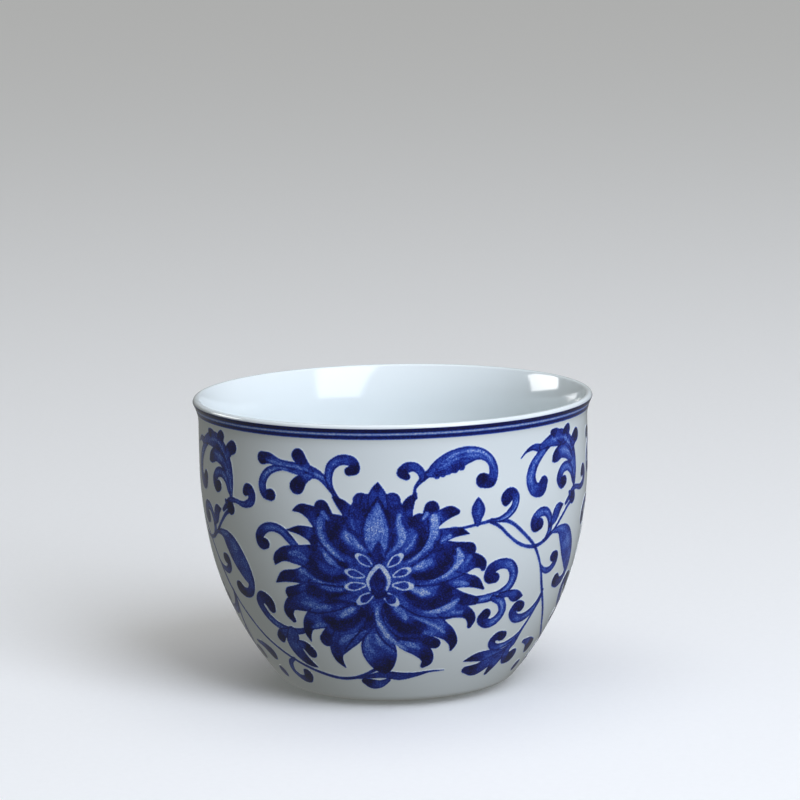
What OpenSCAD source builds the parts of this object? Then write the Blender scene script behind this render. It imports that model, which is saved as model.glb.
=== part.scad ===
// Porcelain teacup: a round bowl on a low foot ring, with an out-turned lip. The clay is
// glazed inside, outside and under the base, and cobalt colour is fired on to the outer
// glaze: two lines with a pale wash between them under the lip, and three transfers of a
// lotus scroll round the wall. The origin is the middle of the foot ring's resting face,
// +Z is up, and the middle of the first lotus bloom faces -Y.

/* [Overall size] */
// Diameter across the lip
rim_d = 80; // [66:1:100]
// Height from the table to the top of the lip
cup_h = 59; // [52:0.5:75]

/* [Foot ring and base] */
// Outer diameter of the foot ring
foot_d = 35; // [28:0.5:42]
// Width of the foot ring, from its outside to its inside
foot_w = 3; // [2:0.1:5]
// Height of the bowl's glazed underside above the table
foot_h = 1; // [0.8:0.1:3]
// Extra depth of the hollow inside the foot ring
base_recess = 1.2; // [0.5:0.1:2.5]
// Bevel on the two lower edges of the foot ring
foot_bevel = 0.5; // [0.2:0.1:0.8]

/* [Wall, floor and glaze] */
// Thickness of the glazed wall
wall_t = 2.4; // [1.8:0.1:3.4]
// Thickness of the glazed lip
lip_t = 1.4; // [1.1:0.1:1.7]
// Thickness of the glazed floor, inside the foot ring
floor_t = 3.2; // [2.4:0.1:5]
// Thickness of the glaze
glaze_t = 0.25; // [0.15:0.05:0.4]

/* [Shape of the bowl] */
// How far the lip stands out beyond the upright wall
lip_flare = 1; // [0.6:0.1:1.6]
// How far the lip leans out at its edge, in degrees
lip_lean = 28; // [22:1:36]
// Depth from the lip to where the upright wall starts to curve in
upright_h = 12; // [11.5:0.5:16]
// Radius of the upper curve of the wall
upper_curve_r = 88; // [70:1:110]
// Angle that the upper curve turns through, in degrees
upper_curve_a = 10.5; // [8:0.5:12]
// Radius of the heel, where the wall turns under the bowl
heel_r = 4; // [3:0.5:6]
// Width of the flat underside between the foot ring and the heel
underside_w = 3.5; // [2:0.5:5]
// Radius of the hollow curve between the inner wall and the floor
floor_curve_r = 12; // [8:1:16]

/* [Cobalt decoration] */
// Thickness of the fired cobalt colour
cobalt_t = 0.05; // [0.03:0.01:0.1]
// Depth from the lip to the upper line
upper_line_drop = 0.7; // [0.5:0.1:1.5]
// Width of the upper line
upper_line_w = 0.8; // [0.5:0.1:1.5]
// Width of the pale wash between the two lines
wash_w = 0.6; // [0.3:0.1:1.2]
// Width of the lower line
lower_line_w = 0.8; // [0.5:0.1:1.5]
// Plain gap between the lower line and the top of the lotus transfers
transfer_gap = 0.7; // [0.2:0.1:5]
// Height of the lower edge of the lotus transfers above the table
transfer_low = 4.2; // [4:0.1:12]

/* [Hidden] */
$fn = 180;

// Colours of the fired materials
biscuit = "#e8e2d6";
clear_glaze = "#eef2f5";
cobalt = "#2b3f9a";
pale_cobalt = "#8c9fd0";

// Widest spacing of the points along the curved outlines, and most that one may turn
point_gap = 1.2;
turn_step = 6;
transfer_count = 3;
transfer_a = 360 / transfer_count;

// A point at a distance and an angle from a centre, in the radius and height plane
function polar(centre, r, a) = centre + r * [cos(a), sin(a)];

// The lip: a round crown on the end of a wall that leans out by lip_lean
rim_r = rim_d / 2;
wall_r = rim_r - lip_flare;
crown_r = lip_t / 2;
crown_c = [rim_r - crown_r, cup_h - crown_r];
lip_out = polar(crown_c, crown_r, -lip_lean);
lip_in = polar(crown_c, crown_r, 180 - lip_lean);
lean_part = 1 - cos(lip_lean);
flare_r = (lip_out[0] - wall_r) / lean_part;
flare_c = [wall_r + flare_r, lip_out[1] - flare_r * sin(lip_lean)];
inner_wall_r = wall_r - wall_t;
inner_flare_r = (lip_in[0] - inner_wall_r) / lean_part;
inner_flare_c = [inner_wall_r + inner_flare_r, lip_in[1] - inner_flare_r * sin(lip_lean)];

// The outer wall: an upper curve, then a lower curve that runs smoothly into the heel
upper_c = [wall_r - upper_curve_r, cup_h - upright_h];
turn = [cos(upper_curve_a), -sin(upper_curve_a)];
turn_point = upper_c + upper_curve_r * turn;
foot_r = foot_d / 2;
heel_c = [foot_r + underside_w, foot_h + heel_r];
heel_way = heel_c - turn_point;
lower_curve_r = (heel_r * heel_r - heel_way * heel_way) / (2 * (turn * heel_way + heel_r));
lower_c = turn_point - lower_curve_r * turn;
heel_end = heel_c + heel_r * (heel_c - lower_c) / norm(heel_c - lower_c);
heel_a = atan2(heel_end[1] - heel_c[1], heel_end[0] - heel_c[0]);

// The inner wall follows the outer one at wall_t, and a hollow curve joins it to the floor
base_z = foot_h + base_recess;
floor_z = base_z + floor_t;
floor_reach = lower_curve_r - wall_t - floor_curve_r;
floor_rise = lower_c[1] - floor_z - floor_curve_r;
floor_c = [
    lower_c[0] + sqrt(floor_reach * floor_reach - floor_rise * floor_rise),
    floor_z + floor_curve_r
];
floor_end = floor_c + floor_curve_r * (floor_c - lower_c) / norm(floor_c - lower_c);
floor_a = atan2(floor_end[1] - floor_c[1], floor_end[0] - floor_c[0]);

// Heights where each band of cobalt starts and ends, from the lip down
upper_line_top = cup_h - upper_line_drop;
upper_line_end = upper_line_top - upper_line_w;
wash_end = upper_line_end - wash_w;
lower_line_end = wash_end - lower_line_w;
transfer_top = lower_line_end - transfer_gap;
band_ends = [
    upper_line_top, upper_line_end, wash_end, lower_line_end, transfer_top, transfer_low
];

// Evenly spaced values from a to b, no further apart than gap
function steps(a, b, gap) =
    let (n = max(1, ceil(abs(b - a) / gap)))
    [for (i = [0 : n]) a + (b - a) * i / n];
// Sorted, with each value once
function sorted(v) = len(v) == 0 ? [] :
    let (first = v[0])
    concat(
        sorted([for (x = v) if (x < first) x]),
        [first],
        sorted([for (x = v) if (x > first) x])
    );
function turned_back(v) = [for (i = [len(v) - 1 : -1 : 0]) v[i]];

// Points along a circle from angle a to angle b, and their heights alone
function gap_angle(r) = min(turn_step, point_gap / r * 180 / PI);
function arc(centre, r, a, b) = [for (angle = steps(a, b, gap_angle(r))) polar(centre, r, angle)];
function arc_heights(centre, r, a, b) = [for (p = arc(centre, r, a, b)) p[1]];

// The radius direction of a circle at a height
function angle_at(centre, r, z) = asin(max(-1, min(1, (z - centre[1]) / r)));

// The outer surface at height z, and the point that lies t further into the wall
function outside(z, t) =
    z > lip_out[1] ? polar(crown_c, crown_r - t, angle_at(crown_c, crown_r, z)) :
    z > flare_c[1] ? polar(flare_c, -flare_r - t, -angle_at(flare_c, flare_r, z)) :
    z > upper_c[1] ? [wall_r - t, z] :
    z > turn_point[1] ? polar(upper_c, upper_curve_r - t, angle_at(upper_c, upper_curve_r, z)) :
    z > heel_end[1] ? polar(lower_c, lower_curve_r - t, angle_at(lower_c, lower_curve_r, z)) :
    polar(heel_c, heel_r - t, angle_at(heel_c, heel_r, z));

outer_heights = sorted(concat(
    arc_heights(heel_c, heel_r, -90, heel_a),
    steps(heel_end[1], turn_point[1], point_gap),
    steps(turn_point[1], upper_c[1], point_gap),
    [flare_c[1]],
    arc_heights(flare_c, flare_r, 0, lip_lean),
    arc_heights(crown_c, crown_r, -lip_lean, 90),
    band_ends
));

// The outline between two depths of the outer wall, over a range of heights
function outer_band(low, high, t_out, t_in) =
    let (heights = [for (z = outer_heights) if (z >= low && z <= high) z])
    concat(
        [for (z = heights) outside(z, t_out)],
        turned_back([for (z = heights) outside(z, t_in)])
    );

// The inner surface from the top of the crown to the middle of the floor, t into the wall
inner_upper_r = upper_curve_r - wall_t;
inner_lower_r = lower_curve_r - wall_t;
inner_low_a = atan2(floor_end[1] - lower_c[1], floor_end[0] - lower_c[0]);
function without_first(v) = [for (i = [1 : len(v) - 1]) v[i]];
function inside(t) = concat(
    arc(crown_c, crown_r - t, 90, 180 - lip_lean),
    without_first(arc(inner_flare_c, inner_flare_r - t, 180 - lip_lean, 180)),
    arc(upper_c, inner_upper_r + t, 0, -upper_curve_a),
    without_first(arc(lower_c, inner_lower_r + t, -upper_curve_a, inner_low_a)),
    without_first(arc(floor_c, floor_curve_r + t, floor_a, -90)),
    [[0, floor_z - t]]
);

// A ring of the outline between two depths of the outer wall
module cobalt_band(low, high) {
    rotate_extrude() polygon(outer_band(low, high, -cobalt_t, 0));
}

// The fired clay: wall, lip core and floor, without the foot ring
module porcelain_body() {
    color(biscuit)
        rotate_extrude()
            polygon(concat(
                [[0, base_z], [foot_r, base_z], [foot_r, foot_h + glaze_t]],
                [for (z = outer_heights) outside(z, glaze_t)],
                without_first(inside(glaze_t))
            ));
}

// The turned foot ring, left bare where it stands on the table
module foot_ring() {
    color(biscuit)
        rotate_extrude()
            polygon([
                [foot_r - foot_w, base_z],
                [foot_r - foot_w, foot_bevel],
                [foot_r - foot_w + foot_bevel, 0],
                [foot_r - foot_bevel, 0],
                [foot_r, foot_bevel],
                [foot_r, base_z]
            ]);
}

// The glaze from the top of the lip down the inner wall and over the floor
module inner_glaze() {
    color(clear_glaze)
        rotate_extrude()
            polygon(concat(inside(0), turned_back(inside(glaze_t))));
}

// The glaze from the top of the lip down the outer wall and under the bowl to the foot ring
module outer_glaze() {
    color(clear_glaze)
        rotate_extrude()
            polygon(concat(
                [[foot_r, foot_h]],
                outer_band(foot_h, cup_h, 0, glaze_t),
                [[foot_r, foot_h + glaze_t]]
            ));
}

// The disc of glaze inside the foot ring
module base_glaze() {
    color(clear_glaze)
        translate([0, 0, base_z - glaze_t])
            cylinder(h = glaze_t, r = foot_r - foot_w);
}

// The two cobalt lines under the lip and the pale wash between them
module rim_line_upper() {
    color(cobalt) cobalt_band(upper_line_end, upper_line_top);
}
module rim_wash() {
    color(pale_cobalt) cobalt_band(wash_end, upper_line_end);
}
module rim_line_lower() {
    color(cobalt) cobalt_band(lower_line_end, wash_end);
}

// One printed lotus transfer, a third of the way round. Number 1 is centred on -Y.
module lotus_transfer(number) {
    color(cobalt)
        rotate([0, 0, -90 + transfer_a * (number - 1.5)])
            rotate_extrude(angle = transfer_a)
                polygon(outer_band(transfer_low, transfer_top, -cobalt_t, 0));
}

porcelain_body();
foot_ring();
inner_glaze();
outer_glaze();
base_glaze();
rim_line_upper();
rim_wash();
rim_line_lower();
lotus_transfer(1);  // lotus_transfer_1
lotus_transfer(2);  // lotus_transfer_2
lotus_transfer(3);  // lotus_transfer_3
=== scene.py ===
# %% [markdown]
# # A porcelain teacup with a cobalt lotus scroll
# This lesson dresses a cup that already exists as a plain CAD model. Each step is a cell: a few
# sentences first, then a short piece of code that prints what it made. The CAD model gives every
# size and place, and nothing here moves or resizes it.

# %% Load the frame
import math

import bmesh
import bpy
import numpy as np
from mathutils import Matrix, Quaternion, Vector


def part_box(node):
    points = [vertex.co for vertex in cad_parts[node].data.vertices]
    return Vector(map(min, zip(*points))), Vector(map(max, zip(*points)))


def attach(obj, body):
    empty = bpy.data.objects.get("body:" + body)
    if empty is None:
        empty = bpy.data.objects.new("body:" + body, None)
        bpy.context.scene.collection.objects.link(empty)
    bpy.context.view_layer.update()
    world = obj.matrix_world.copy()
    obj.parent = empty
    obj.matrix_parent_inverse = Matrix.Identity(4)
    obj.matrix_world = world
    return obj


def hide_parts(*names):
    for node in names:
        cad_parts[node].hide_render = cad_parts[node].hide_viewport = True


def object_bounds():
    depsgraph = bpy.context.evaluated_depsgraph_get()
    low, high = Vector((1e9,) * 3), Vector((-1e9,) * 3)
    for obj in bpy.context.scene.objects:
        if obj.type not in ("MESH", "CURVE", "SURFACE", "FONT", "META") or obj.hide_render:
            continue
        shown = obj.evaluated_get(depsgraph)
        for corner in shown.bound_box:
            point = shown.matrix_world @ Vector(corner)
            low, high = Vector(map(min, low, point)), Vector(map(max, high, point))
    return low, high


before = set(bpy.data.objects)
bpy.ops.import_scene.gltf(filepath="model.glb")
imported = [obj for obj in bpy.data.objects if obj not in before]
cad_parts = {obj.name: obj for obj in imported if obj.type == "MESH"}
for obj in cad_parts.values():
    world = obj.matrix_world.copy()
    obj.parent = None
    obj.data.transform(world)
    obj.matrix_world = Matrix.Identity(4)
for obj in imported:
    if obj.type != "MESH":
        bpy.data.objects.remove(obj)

cad_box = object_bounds()
MM = 0.001
size_mm = [round(side / MM, 2) for side in cad_box[1] - cad_box[0]]
print("CAD nodes:", ", ".join(sorted(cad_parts)))
print("CAD size in millimetres:", size_mm)

# %% [markdown]
# ## The camera
# A small object looks natural from about arm's length with a long lens, because a near camera
# swells the rim. The camera turns round a point near the middle of the cup. It looks above the
# cup, so the cup stands in the lower half of the picture, and a slight roll keeps the rim's
# tilt. Each part of the aim is one small turn, so it can be changed by itself.

# %% Place and aim the camera
CAMERA_AWAY = 700 * MM
CAMERA_ABOVE = 11.4
CAMERA_RIGHT = 5
CAMERA_ROLL = math.radians(-1.06)
CAMERA_LENS = 155.8
AIM_ABOVE = math.radians(2.36)
AIM_RIGHT = math.radians(0.08)
TARGET_HEIGHT = 0.48


def direction(side, above):
    """The way out from the cup, side degrees right of its front and above degrees up."""
    side = math.radians(side)
    above = math.radians(above)
    return Vector((
        math.sin(side) * math.cos(above), -math.cos(side) * math.cos(above), math.sin(above)
    ))


centre = (cad_box[0] + cad_box[1]) / 2
cup_height = cad_box[1].z - cad_box[0].z
target = Vector((centre.x, centre.y, cad_box[0].z + TARGET_HEIGHT * cup_height))
towards_camera = direction(CAMERA_RIGHT, CAMERA_ABOVE)
camera_data = bpy.data.cameras.new("camera")
camera_data.sensor_width = 36
camera_data.lens = CAMERA_LENS
camera_data.clip_start = 50 * MM
camera_data.clip_end = 10
camera = bpy.data.objects.new("camera", camera_data)
bpy.context.scene.collection.objects.link(camera)
camera.location = target + CAMERA_AWAY * towards_camera
camera.rotation_mode = "QUATERNION"
camera.rotation_quaternion = (
    (-towards_camera).to_track_quat("-Z", "Y")
    @ Quaternion((0, 0, 1), CAMERA_ROLL)
    @ Quaternion((1, 0, 0), AIM_ABOVE)
    @ Quaternion((0, 1, 0), -AIM_RIGHT)
)
bpy.context.scene.camera = camera
print("camera at", [round(v / MM) for v in camera.location], "mm")

# %% [markdown]
# ## Pieces turned on a wheel
# A cup is thrown or jiggered on a wheel, so each layer of it is one outline turned about the
# cup's axis. The CAD model is made of loose flat triangles, which show as facets in a glossy
# glaze. So a copy of a CAD node is merged and halved, then cut along the plane through its axis.
# The half outline that is left is kept, and Spin turns it in many fine steps. Halving it first
# makes an outline that crosses the axis end on it, so a floor closes in its middle. The sizes
# stay the CAD's own, and only the smoothness changes.

# %% Helpers for selecting, cutting an outline and spinning it
WELD = 0.001 * MM
ON_THE_CUT = 10 * WELD
SPIN_STEPS = 256
SHARP_FROM = math.radians(40)


def only(obj):
    """Selects one object and makes it active."""
    for other in bpy.context.selected_objects:
        other.select_set(False)
    obj.select_set(True)
    bpy.context.view_layer.objects.active = obj


def new_piece(name, mesh):
    """Puts a mesh in the scene as an object of its own and selects it."""
    obj = bpy.data.objects.new(name, mesh)
    bpy.context.scene.collection.objects.link(obj)
    only(obj)
    return obj


def delete_where(obj, kind, test):
    """Deletes the vertices or edges of the edited mesh that pass a test."""
    bm = bmesh.from_edit_mesh(obj.data)
    parts = bm.verts if kind == "VERTS" else bm.edges
    bmesh.ops.delete(bm, geom=[p for p in parts if test(p)], context=kind)
    bmesh.update_edit_mesh(obj.data)


def half_outline(name, node):
    """The outline of a turned CAD node on its right-hand half-plane, as a wire in edit mode."""
    obj = new_piece(name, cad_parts[node].data.copy())
    obj.data.materials.clear()
    bpy.ops.object.mode_set(mode="EDIT")
    bpy.ops.mesh.select_mode(type="VERT")
    bpy.ops.mesh.select_all(action="SELECT")
    bpy.ops.mesh.remove_doubles(threshold=WELD)
    bpy.ops.mesh.bisect(plane_co=(0, 0, 0), plane_no=(1, 0, 0), clear_inner=True, threshold=WELD)
    bpy.ops.mesh.select_all(action="SELECT")
    bpy.ops.mesh.bisect(
        plane_co=(0, 0, 0), plane_no=(0, 1, 0), clear_inner=True, clear_outer=True, threshold=WELD
    )
    delete_where(obj, "VERTS", lambda v: v.co.x < -WELD or abs(v.co.y) > ON_THE_CUT)
    delete_where(obj, "EDGES", lambda e: max(v.co.x for v in e.verts) < WELD)
    bpy.ops.mesh.select_all(action="SELECT")
    bpy.ops.mesh.remove_doubles(threshold=WELD)
    return obj


def spin_round(obj):
    """Turns the edited outline about the cup's axis and leaves a closed, smooth piece."""
    bpy.ops.mesh.select_all(action="SELECT")
    bpy.ops.mesh.spin(steps=SPIN_STEPS, angle=2 * math.pi, center=(0, 0, 0), axis=(0, 0, 1))
    bpy.ops.mesh.select_all(action="SELECT")
    bpy.ops.mesh.remove_doubles(threshold=WELD)
    bpy.ops.mesh.normals_make_consistent(inside=False)
    bpy.ops.object.mode_set(mode="OBJECT")
    bpy.ops.object.shade_smooth_by_angle(angle=SHARP_FROM)
    bm = bmesh.new()
    bm.from_mesh(obj.data)
    unclosed = sum(1 for e in bm.edges if not e.is_manifold)
    bm.free()
    print(f"{obj.name}: {len(obj.data.polygons)} faces, {unclosed} edges that aren't closed")


def stand_for(obj, slot, *nodes):
    """The piece rides on the cup and stands for its CAD nodes, which are hidden. The slot is not used.
    """
    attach(obj, "root")
    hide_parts(*nodes)
    return obj


print("one turn is", SPIN_STEPS, "steps")

# %% Spin the glazes, the two rim lines and the wash between them
TURNED = {
    "glaze_outside": ("outer_glaze", "glazed_porcelain"),
    "glaze_inside": ("inner_glaze", "glazed_porcelain"),
    "cobalt_line_upper": ("rim_line_upper", "cobalt_blue"),
    "cobalt_wash_band": ("rim_wash", "cobalt_wash"),
    "cobalt_line_lower": ("rim_line_lower", "cobalt_blue"),
}
turned = {}
for name, (node, slot) in TURNED.items():
    turned[name] = half_outline(name, node)
    if name == "glaze_outside":
        wire = bmesh.from_edit_mesh(turned[name].data)
        wire.verts.index_update()
        outline_mm = [(v.co.x / MM, v.co.z / MM) for v in wire.verts]
        outline_edges = [tuple(v.index for v in e.verts) for e in wire.edges]
    spin_round(turned[name])
    stand_for(turned[name], slot, node)

# %% [markdown]
# ## The foot ring and the glaze under the base
# The ring is turned from the leather-hard clay and its edges are wiped with a sponge, so they
# are a little rounder than the CAD's bevels: the Bevel modifier rounds what is still sharp.
# The glaze inside the ring is a disc that climbs the corner a little, as wet glaze does, so
# its outline is drawn point by point with a quarter circle at its end and then spun.

# %% Turn and wipe the foot ring
WIPED_EDGE = 0.15 * MM
SHARP_EDGE = math.radians(30)

ring = half_outline("foot_ring_bare", "foot_ring")
spin_round(ring)
wipe = ring.modifiers.new("wiped edges", "BEVEL")
wipe.limit_method = "ANGLE"
wipe.angle_limit = math.radians(20)
wipe.width = WIPED_EDGE
wipe.segments = 3
bpy.ops.object.modifier_apply(modifier=wipe.name)
bpy.ops.object.shade_smooth_by_angle(angle=SHARP_EDGE)
stand_for(ring, "biscuit_porcelain", "foot_ring")
print("foot ring:", len(ring.data.polygons), "faces")

# %% Pool the glaze inside the ring
MENISCUS = 0.5 * MM
disc_low, disc_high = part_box("base_glaze")
disc_r = disc_high.x
climb = [
    (disc_r - MENISCUS + MENISCUS * math.sin(a), 0, disc_low.z - MENISCUS + MENISCUS * math.cos(a))
    for a in np.radians(range(0, 91, 10))
]
pool_points = [(0, 0, disc_low.z), *climb, (disc_r, 0, disc_high.z), (0, 0, disc_high.z)]
pool_mesh = bpy.data.meshes.new("glaze_under_base")
pool_mesh.from_pydata(pool_points, [(i, i + 1) for i in range(len(pool_points) - 1)], [])
pool = new_piece("glaze_under_base", pool_mesh)
bpy.ops.object.mode_set(mode="EDIT")
spin_round(pool)
stand_for(pool, "glazed_porcelain", "base_glaze")

# %% [markdown]
# ## The wall as a function of the distance down it
# The print has to follow the wall exactly, so the wall's outline is read off the outer glaze:
# the cut outline is a loop, and a walk along its edges from the top of the lip outwards and
# down gives its points in order. A cubic through them gives the place and the direction at any
# distance from the lip, so the print doesn't show the short straight steps of the CAD mesh. The
# straight part of the wall is one long step, and a cubic would swing across it, so it is divided.

# %% Walk down the outline and fit a smooth curve through it
LONGEST_STEP = 1.2
BELOW_THE_LIP = 0.88

beside = {i: set() for i in range(len(outline_mm))}
for a, b in outline_edges:
    beside[a].add(b)
    beside[b].add(a)
lip_top = max(beside, key=lambda i: outline_mm[i][1])
lowest = min(z for _, z in outline_mm)
walk = [lip_top, max(beside[lip_top], key=lambda i: outline_mm[i][0])]
while outline_mm[walk[-1]][1] > lowest + WELD / MM:
    walk.append((beside[walk[-1]] - {walk[-2]}).pop())
steps = [outline_mm[walk[0]]]
for a, b in zip(walk[:-1], walk[1:]):
    run = np.subtract(outline_mm[b], outline_mm[a])
    cuts = max(1, round(math.hypot(*run) / LONGEST_STEP))
    steps += [outline_mm[a] + run * (k + 1) / cuts for k in range(cuts)]
wall = np.array(steps)
wall_down = np.r_[0, np.cumsum(np.hypot(*np.diff(wall, axis=0).T))]
wall_slope = np.gradient(wall, wall_down, axis=0)
upright_r = max(r for r, z in wall if z < BELOW_THE_LIP * wall[0][1])


def wall_at(down):
    """Radius, height and the outward normal, in millimetres, at distances down the wall."""
    down = np.asarray(down, float)
    i = np.clip(np.searchsorted(wall_down, down) - 1, 0, len(wall) - 2)
    span = (wall_down[i + 1] - wall_down[i])[..., None]
    t = (down - wall_down[i])[..., None] / span
    a, b, u, v = wall[i], wall[i + 1], wall_slope[i] * span, wall_slope[i + 1] * span
    place = (2 * t**3 - 3 * t**2 + 1) * a + (3 * t**2 - 2 * t**3) * b
    place += (t**3 - 2 * t**2 + t) * u + (t**3 - t**2) * v
    run = (6 * t**2 - 6 * t) * (a - b) + (3 * t**2 - 4 * t + 1) * u + (3 * t**2 - 2 * t) * v
    run /= np.linalg.norm(run, axis=-1, keepdims=True)
    return place[..., 0], place[..., 1], -run[..., 1], run[..., 0]


print(f"the wall runs {wall_down[-1]:.1f} mm from the lip, and upright it has r = {upright_r:.2f} mm")

# %% [markdown]
# ## The lotus scroll, drawn flat
# On the real cup the flowers are a transfer: a thin sheet of printed cobalt that is laid on the
# wall before the last firing. Three equal sheets go round the cup. A print has soft edges and
# shades that no modelling operator makes, so the sheet is drawn the way a painter fills a
# stencil. A fine grid stands for the paper. Every brush stroke is a curve through a few points,
# each with a width, and the grid remembers two things: how far inside a stroke each of its
# points lies, and how strong the colour is there. Strokes that come later cover earlier ones.

# %% The paper: a grid that reaches one third of the way round the cup
SHEET_COUNT = 3
SHEET_W = 2 * math.pi * upright_r / SHEET_COUNT
COLUMNS = 460
GRID = SHEET_W / COLUMNS
SHEET_LOW, SHEET_TOP = -27.2, 27.6
ROWS = round((SHEET_TOP - SHEET_LOW) / GRID)
OUTSIDE = -9.0
sheet_x = (np.arange(COLUMNS) + 0.5) * GRID - SHEET_W / 2
sheet_y = SHEET_LOW + (np.arange(ROWS + 1)) * GRID
tone = np.zeros((ROWS + 1, COLUMNS))
inside = {group: np.full(tone.shape, OUTSIDE) for group in ("bloom", "leaf", "vine")}
print(f"one sheet is {SHEET_W:.1f} mm wide, on a grid of {GRID:.3f} mm")

# %% A brush stroke: a smooth curve through points of (x, y, width)
CURVE_GAP = 0.3
THINNEST = 0.05


def smooth_step(low, high, value):
    """0 below low, 1 above high and a soft S between them."""
    t = np.clip((value - low) / (high - low), 0, 1)
    return t * t * (3 - 2 * t)


def curve(points):
    """A cubic through the points, with a sample every CURVE_GAP millimetres."""
    p = np.array(points, float)
    length = np.r_[0, np.cumsum(np.hypot(*np.diff(p[:, :2], axis=0).T))]
    slope = np.gradient(p, length, axis=0)
    out = []
    for i, span in enumerate(np.diff(length)):
        t = np.linspace(0, 1, max(2, round(span / CURVE_GAP) + 1))[:-1, None]
        out.append(
            (2 * t**3 - 3 * t**2 + 1) * p[i]
            + (t**3 - 2 * t**2 + t) * span * slope[i]
            + (3 * t**2 - 2 * t**3) * p[i + 1]
            + (t**3 - t**2) * span * slope[i + 1]
        )
    out = np.vstack(out + [p[-1:]])
    out[:, 2] = np.maximum(out[:, 2], THINNEST)
    return out


def stroke_field(points, margin=1.0):
    """For the grid near a stroke: depth inside it, place along it and side of its middle."""
    c = curve(points)
    reach = c[:, 2].max() / 2 + margin
    first = math.floor((c[:, 0].min() - reach - sheet_x[0]) / GRID)
    last = math.ceil((c[:, 0].max() + reach - sheet_x[0]) / GRID)
    low = max(0, math.floor((c[:, 1].min() - reach - SHEET_LOW) / GRID))
    high = min(ROWS, math.ceil((c[:, 1].max() + reach - SHEET_LOW) / GRID))
    columns = np.arange(first, last + 1)
    rows = np.arange(low, high + 1)
    x, y = np.meshgrid(sheet_x[0] + columns * GRID, sheet_y[rows])
    depth = np.full(x.shape, OUTSIDE)
    along = np.zeros(x.shape)
    side = np.zeros(x.shape)
    for i, (a, b) in enumerate(zip(c[:-1], c[1:])):
        run = b - a
        span = math.hypot(run[0], run[1]) or 1e-9
        t = np.clip(((x - a[0]) * run[0] + (y - a[1]) * run[1]) / span**2, 0, 1)
        off_x, off_y = x - a[0] - t * run[0], y - a[1] - t * run[1]
        half = (a[2] + t * run[2]) / 2
        nearer = half - np.hypot(off_x, off_y)
        take = nearer > depth
        depth[take] = nearer[take]
        along[take] = ((i + t) / (len(c) - 1))[take]
        side[take] = ((run[0] * off_y - run[1] * off_x) / span / half)[take]
    return np.ix_(rows, columns % COLUMNS), depth, along, side


print("points along a straight stroke of 10 mm:", len(curve([(0, 0, 1), (10, 0, 1)])))

# %% Painting: a petal with its dark rim and tip, a soft touch, a bead and a vine
EDGE = 0.12
VEIN_W = 0.35


def cover(where, depth, group):
    """Remembers that a stroke belongs to the bloom, the leaves or the vines."""
    inside[group][where] = np.maximum(inside[group][where], depth)


def lay(where, depth, shade, strength=1.0, edge=EDGE):
    """Paints a shade over what is there, with a soft edge."""
    share = smooth_step(-edge, edge, depth) * strength
    tone[where] = tone[where] * (1 - share) + shade * share


def fill(
    points, group, body=0.62, rim=0.86, tip=0.95, tip_from=0.6, rim_w=0.4, light=0.0, light_side=0.0
):
    """A petal, lobe or leaf: a body with a darker rim, a dark tip and a lighter vein."""
    where, depth, along, side = stroke_field(points)
    shade = np.full(depth.shape, body)
    vein = np.exp(-(((side - light_side) / VEIN_W) ** 2)) * smooth_step(0.0, 0.25, along)
    vein *= 1 - smooth_step(tip_from - 0.15, tip_from + 0.1, along)
    shade -= light * vein
    dark = smooth_step(tip_from, min(1, tip_from + 0.3), along)
    shade += (tip - shade) * dark
    line = 1 - smooth_step(rim_w * 0.4, rim_w, depth)
    shade = np.maximum(shade, rim * line + shade * (1 - line))
    cover(where, depth, group)
    lay(where, depth, shade)


def touch(points, shade, strength=0.8, edge=0.5):
    """A soft stroke over what is already painted. It adds no outline of its own."""
    where, depth, _, _ = stroke_field(points, margin=edge + 0.3)
    lay(where, depth, shade, strength, edge)


def ball(x, y, r, group, body=0.75, middle=0.9):
    """A round bead at the end of a curl, darker in its middle and at its rim."""
    where, depth, _, _ = stroke_field([(x - 0.01, y, 2 * r), (x + 0.01, y, 2 * r)])
    core = smooth_step(0.35 * r, 0.8 * r, depth)
    line = 1 - smooth_step(0.1, 0.35, depth)
    shade = body + (middle - body) * np.maximum(core, line)
    cover(where, depth, group)
    lay(where, depth, shade)


def leaf(points, **finish):
    """A leaf, lobe or curl of the scroll."""
    fill(points, "leaf", **finish)


def vine(points, shade=0.72):
    """A thin stem of one even shade."""
    where, depth, _, _ = stroke_field(points)
    cover(where, depth, "vine")
    lay(where, depth, shade)


def print_covered(motif):
    """Prints how much of the sheet has colour on it after a motif."""
    colour = np.maximum.reduce(list(inside.values())) > 0
    print(f"{motif}: {np.count_nonzero(colour) / colour.size:.0%} of the sheet is covered")


print(f"a stroke's edge fades over {2 * EDGE} mm")

# %% [markdown]
# ## The motifs
# x runs to the right and y up from the middle of the bloom, in millimetres. A painter sets down
# the thin vines first, then the scrolls that spring from them, and the bloom last, so that each
# covers the loose ends of what was there before.

# %% Vines, the thinnest strokes
vine([(15, 10, 0.6), (20, 10.7, 0.6), (23, 11.1, 0.8), (26, 11, 0.9)])
vine([(23, 11.2, 0.8), (27, 10.5, 0.8), (31, 7.6, 0.75), (34.5, 4.4, 0.7), (37.2, 0.2, 0.65),
      (39.5, -4.7, 0.8), (43.5, -10.5, 0.7), (48, -15.5, 0.7), (52, -18.2, 0.75), (59, -21.5, 0.8),
      (64, -23, 0.85), (69, -23.8, 0.85), (74, -23.2, 0.85), (78.5, -21.3, 0.9), (81, -19.8, 0.9)])
vine([(22.5, 11, 0.7), (24.5, 10, 0.7), (27, 7.8, 0.65), (29.5, 5.9, 0.7), (32, 4.8, 0.75),
      (34.5, 4.4, 0.8), (37.2, 5, 0.8), (40, 6.5, 0.7), (43, 9, 0.7), (45.5, 11, 0.8), (48, 12.2, 0.9)])
print_covered("vines")

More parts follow.
